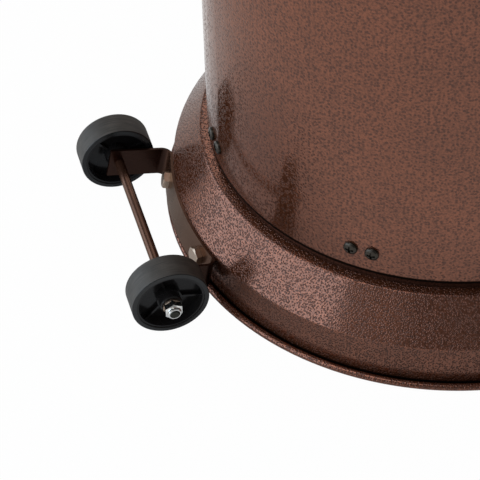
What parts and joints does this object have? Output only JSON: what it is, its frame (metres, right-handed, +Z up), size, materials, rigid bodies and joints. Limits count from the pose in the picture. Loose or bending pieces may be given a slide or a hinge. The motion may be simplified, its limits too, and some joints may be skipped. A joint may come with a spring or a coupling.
{
  "type": "gas patio heater",
  "caption": "Free-standing gas patio heater: round base with wheels, lift-up tank housing, post, perforated emitter and wide dished reflector.",
  "frame": {"origin": "on the floor under the middle of the base", "axes": "+Z up the post, wheels at +Y, control knob at -Y"},
  "size_m": [0.813, 0.813, 2.2084],
  "materials": {
    "hammered_bronze": "hammered texture enamel",
    "black_plastic": "moulded, glossy",
    "black_screw": "black plated",
    "tyre_rubber": "matte rubber",
    "zinc_plate": "bright zinc plated",
    "stainless": "brushed stainless steel",
    "reflector_aluminium": "spun, satin",
    "brass": "machined",
    "nylon": "moulded nylon",
    "ceramic": "fired"
  },
  "bodies": {
    "frame": {"base_shell": "hammered_bronze", "support_leg_rear": "hammered_bronze", "support_leg_left": "hammered_bronze", "support_leg_right": "hammered_bronze", "leg_foot_bolts": "zinc_plate", "leg_foot_nuts": "zinc_plate", "post_socket": "hammered_bronze", "leg_top_bolts": "zinc_plate", "leg_top_nuts": "zinc_plate", "post": "hammered_bronze", "post_screws": "black_screw", "wheel_bracket": "hammered_bronze", "bracket_wedges": "nylon", "bracket_bolts": "zinc_plate", "bracket_nuts": "zinc_plate", "axle": "hammered_bronze", "axle_washers": "zinc_plate", "axle_nuts": "zinc_plate", "head_flange": "hammered_bronze", "head_bolts": "zinc_plate", "head_nuts": "zinc_plate", "control_housing": "hammered_bronze", "control_panel": "hammered_bronze", "gas_valve": "brass", "valve_cap": "zinc_plate", "valve_inlet": "brass", "valve_bracket": "zinc_plate", "ignitor_body": "black_plastic", "ignitor_nut": "nylon", "ignitor_wire": "nylon", "gas_elbow": "brass", "burner_tube": "stainless", "burner": "stainless", "burner_floor": "stainless", "pilot_bracket": "zinc_plate", "pilot_tube": "reflector_aluminium", "thermocouple": "stainless", "electrode": "ceramic", "tilt_switch": "nylon", "emitter_screen": "stainless", "screen_top": "stainless", "reflector_studs": "stainless", "stud_nuts": "zinc_plate", "reflector": "reflector_aluminium", "reflector_washers": "zinc_plate", "wing_nuts": "zinc_plate"},
    "tank_housing": {"housing_shell": "hammered_bronze", "housing_lid": "hammered_bronze", "housing_collar": "nylon", "housing_clips": "hammered_bronze", "clip_screws": "black_screw", "lid_screws": "black_screw"},
    "wheel_left": {"wheel_hub_left": "black_plastic", "wheel_tyre_left": "tyre_rubber"},
    "wheel_right": {"wheel_hub_right": "black_plastic", "wheel_tyre_right": "tyre_rubber"},
    "valve_rotor": {"valve_plug": "brass"},
    "knob": {"valve_stem": "zinc_plate", "control_knob": "black_plastic"},
    "ignitor_key": {"ignitor_button": "black_plastic"}
  },
  "joints": [
    {"name": "housing_lift", "type": "slide", "parent": "frame", "child": "tank_housing", "axis": [0, 0, 1], "range_m": [0, 0.55]},
    {"name": "wheel_left_spin", "type": "hinge", "parent": "frame", "child": "wheel_left", "pos_m": [-0.0841, 0.2564, 0.0325], "axis": [1, 0, 0], "continuous": true},
    {"name": "wheel_right_spin", "type": "hinge", "parent": "frame", "child": "wheel_right", "pos_m": [0.0841, 0.2564, 0.0325], "axis": [1, 0, 0], "continuous": true},
    {"name": "knob_turn", "type": "hinge", "parent": "frame", "child": "valve_rotor", "pos_m": [0, -0.08, 1.7087], "axis": [0, -1, 0], "range_deg": [0, 270]},
    {"name": "knob_push", "type": "slide", "parent": "valve_rotor", "child": "knob", "axis": [0, 1, 0], "range_m": [0, 0.004], "stiffness_N_per_m": 1500, "springref_m": -0.002},
    {"name": "ignitor_push", "type": "slide", "parent": "frame", "child": "ignitor_key", "axis": [0, 1, 0], "range_m": [0, 0.005], "stiffness_N_per_m": 1500, "springref_m": -0.003}
  ]
}
